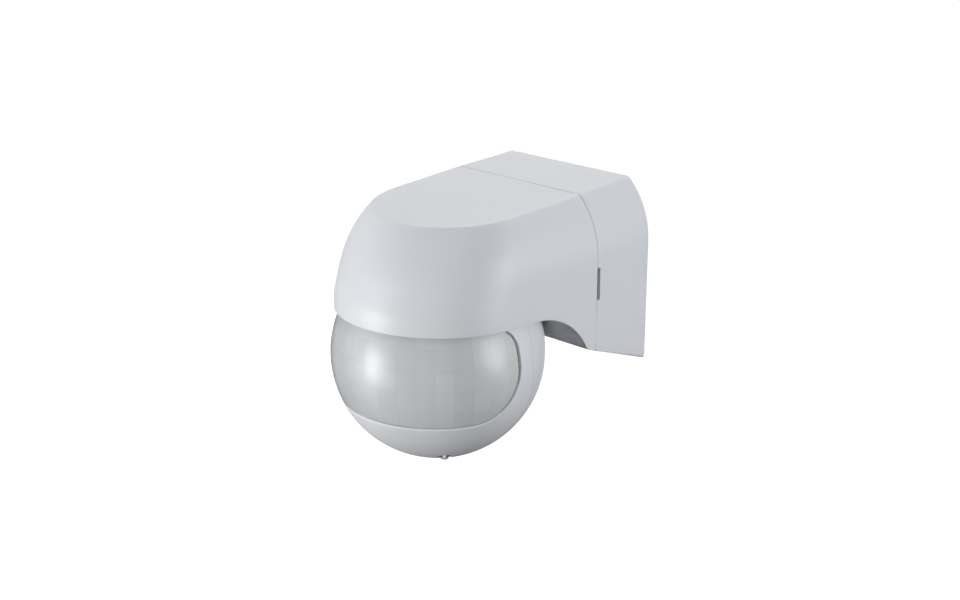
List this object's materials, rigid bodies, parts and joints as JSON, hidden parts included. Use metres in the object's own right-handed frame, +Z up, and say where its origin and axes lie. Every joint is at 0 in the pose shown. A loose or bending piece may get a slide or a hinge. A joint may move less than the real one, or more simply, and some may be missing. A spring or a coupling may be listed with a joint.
{
  "type": "wall motion sensor",
  "caption": "Outdoor passive infrared motion sensor with a wall base, a pull-off hood and a ball head with a frosted lens that pans and tilts.",
  "frame": {"origin": "centre of the base's flat back face, where it meets the wall", "axes": "+Z up, +Y into the wall, +X to the right seen from in front of the sensor"},
  "size_m": [0.065, 0.0904, 0.0789],
  "materials": {
    "housing_plastic": "satin white, fine moulded texture",
    "shell_plastic": "satin white, fine moulded texture",
    "lens_plastic": "milky translucent, faceted by a moulded grid",
    "grey_plastic": "matte",
    "dark_plastic": "matte",
    "blue_plastic": "gloss",
    "sleeve_blue": "gloss sleeve",
    "sensor_board": "solder mask",
    "power_board": "bare laminate",
    "rubber": "matte",
    "steel": "plated",
    "brass": "plain",
    "fuse_glass": "clear",
    "led_red": "gloss"
  },
  "bodies": {
    "base": {"wall_base": "housing_plastic", "terminal_block": "grey_plastic", "terminal_screw_live": "steel", "terminal_screw_neutral": "steel", "terminal_screw_load": "steel", "cable_grommet": "rubber", "hood_seal": "rubber"},
    "hood": {"hood": "housing_plastic", "power_board": "power_board", "board_screw_left": "steel", "board_screw_right": "steel", "contact_pin_live": "brass", "contact_pin_neutral": "brass", "contact_pin_load": "brass", "relay": "blue_plastic", "film_capacitor": "dark_plastic", "filter_capacitor": "sleeve_blue", "varistor": "blue_plastic", "fuse": "fuse_glass", "hood_cable": "dark_plastic"},
    "swivel": {"swivel_neck": "shell_plastic", "friction_washer": "steel", "retaining_nut": "grey_plastic", "neck_cable": "dark_plastic"},
    "head": {"front_shell": "shell_plastic", "rear_shell": "shell_plastic", "fresnel_lens": "lens_plastic", "lens_retainer": "dark_plastic", "shell_screw_left": "steel", "shell_screw_right": "steel", "sensor_board": "sensor_board", "pyro_board": "sensor_board", "pyro_sensor": "steel", "pyro_filter": "dark_plastic", "light_sensor": "brass", "indicator_led": "led_red", "time_trimmer": "blue_plastic", "sensitivity_trimmer": "blue_plastic", "light_level_trimmer": "blue_plastic"},
    "time_adjuster": {"time_knob": "shell_plastic"},
    "sensitivity_adjuster": {"sensitivity_knob": "shell_plastic"},
    "light_level_adjuster": {"light_level_knob": "shell_plastic"}
  },
  "joints": [
    {"name": "hood_pull_off", "type": "slide", "parent": "base", "child": "hood", "axis": [0, -1, 0], "range_m": [0, 0.04]},
    {"name": "head_pan", "type": "hinge", "parent": "hood", "child": "swivel", "pos_m": [0, -0.0586, -0.0184], "axis": [0, 0, 1], "range_deg": [-70, 70]},
    {"name": "head_tilt", "type": "hinge", "parent": "swivel", "child": "head", "pos_m": [0, -0.0586, -0.0184], "axis": [1, 0, 0], "range_deg": [-10, 30]},
    {"name": "time_knob_turn", "type": "hinge", "parent": "head", "child": "time_adjuster", "pos_m": [-0.0132, -0.0693, -0.044], "axis": [0, 0, -1], "range_deg": [-135, 135]},
    {"name": "sensitivity_knob_turn", "type": "hinge", "parent": "head", "child": "sensitivity_adjuster", "pos_m": [0, -0.0576, -0.044], "axis": [0, 0, -1], "range_deg": [-135, 135]},
    {"name": "light_level_knob_turn", "type": "hinge", "parent": "head", "child": "light_level_adjuster", "pos_m": [0.0132, -0.0693, -0.044], "axis": [0, 0, -1], "range_deg": [-135, 135]}
  ]
}
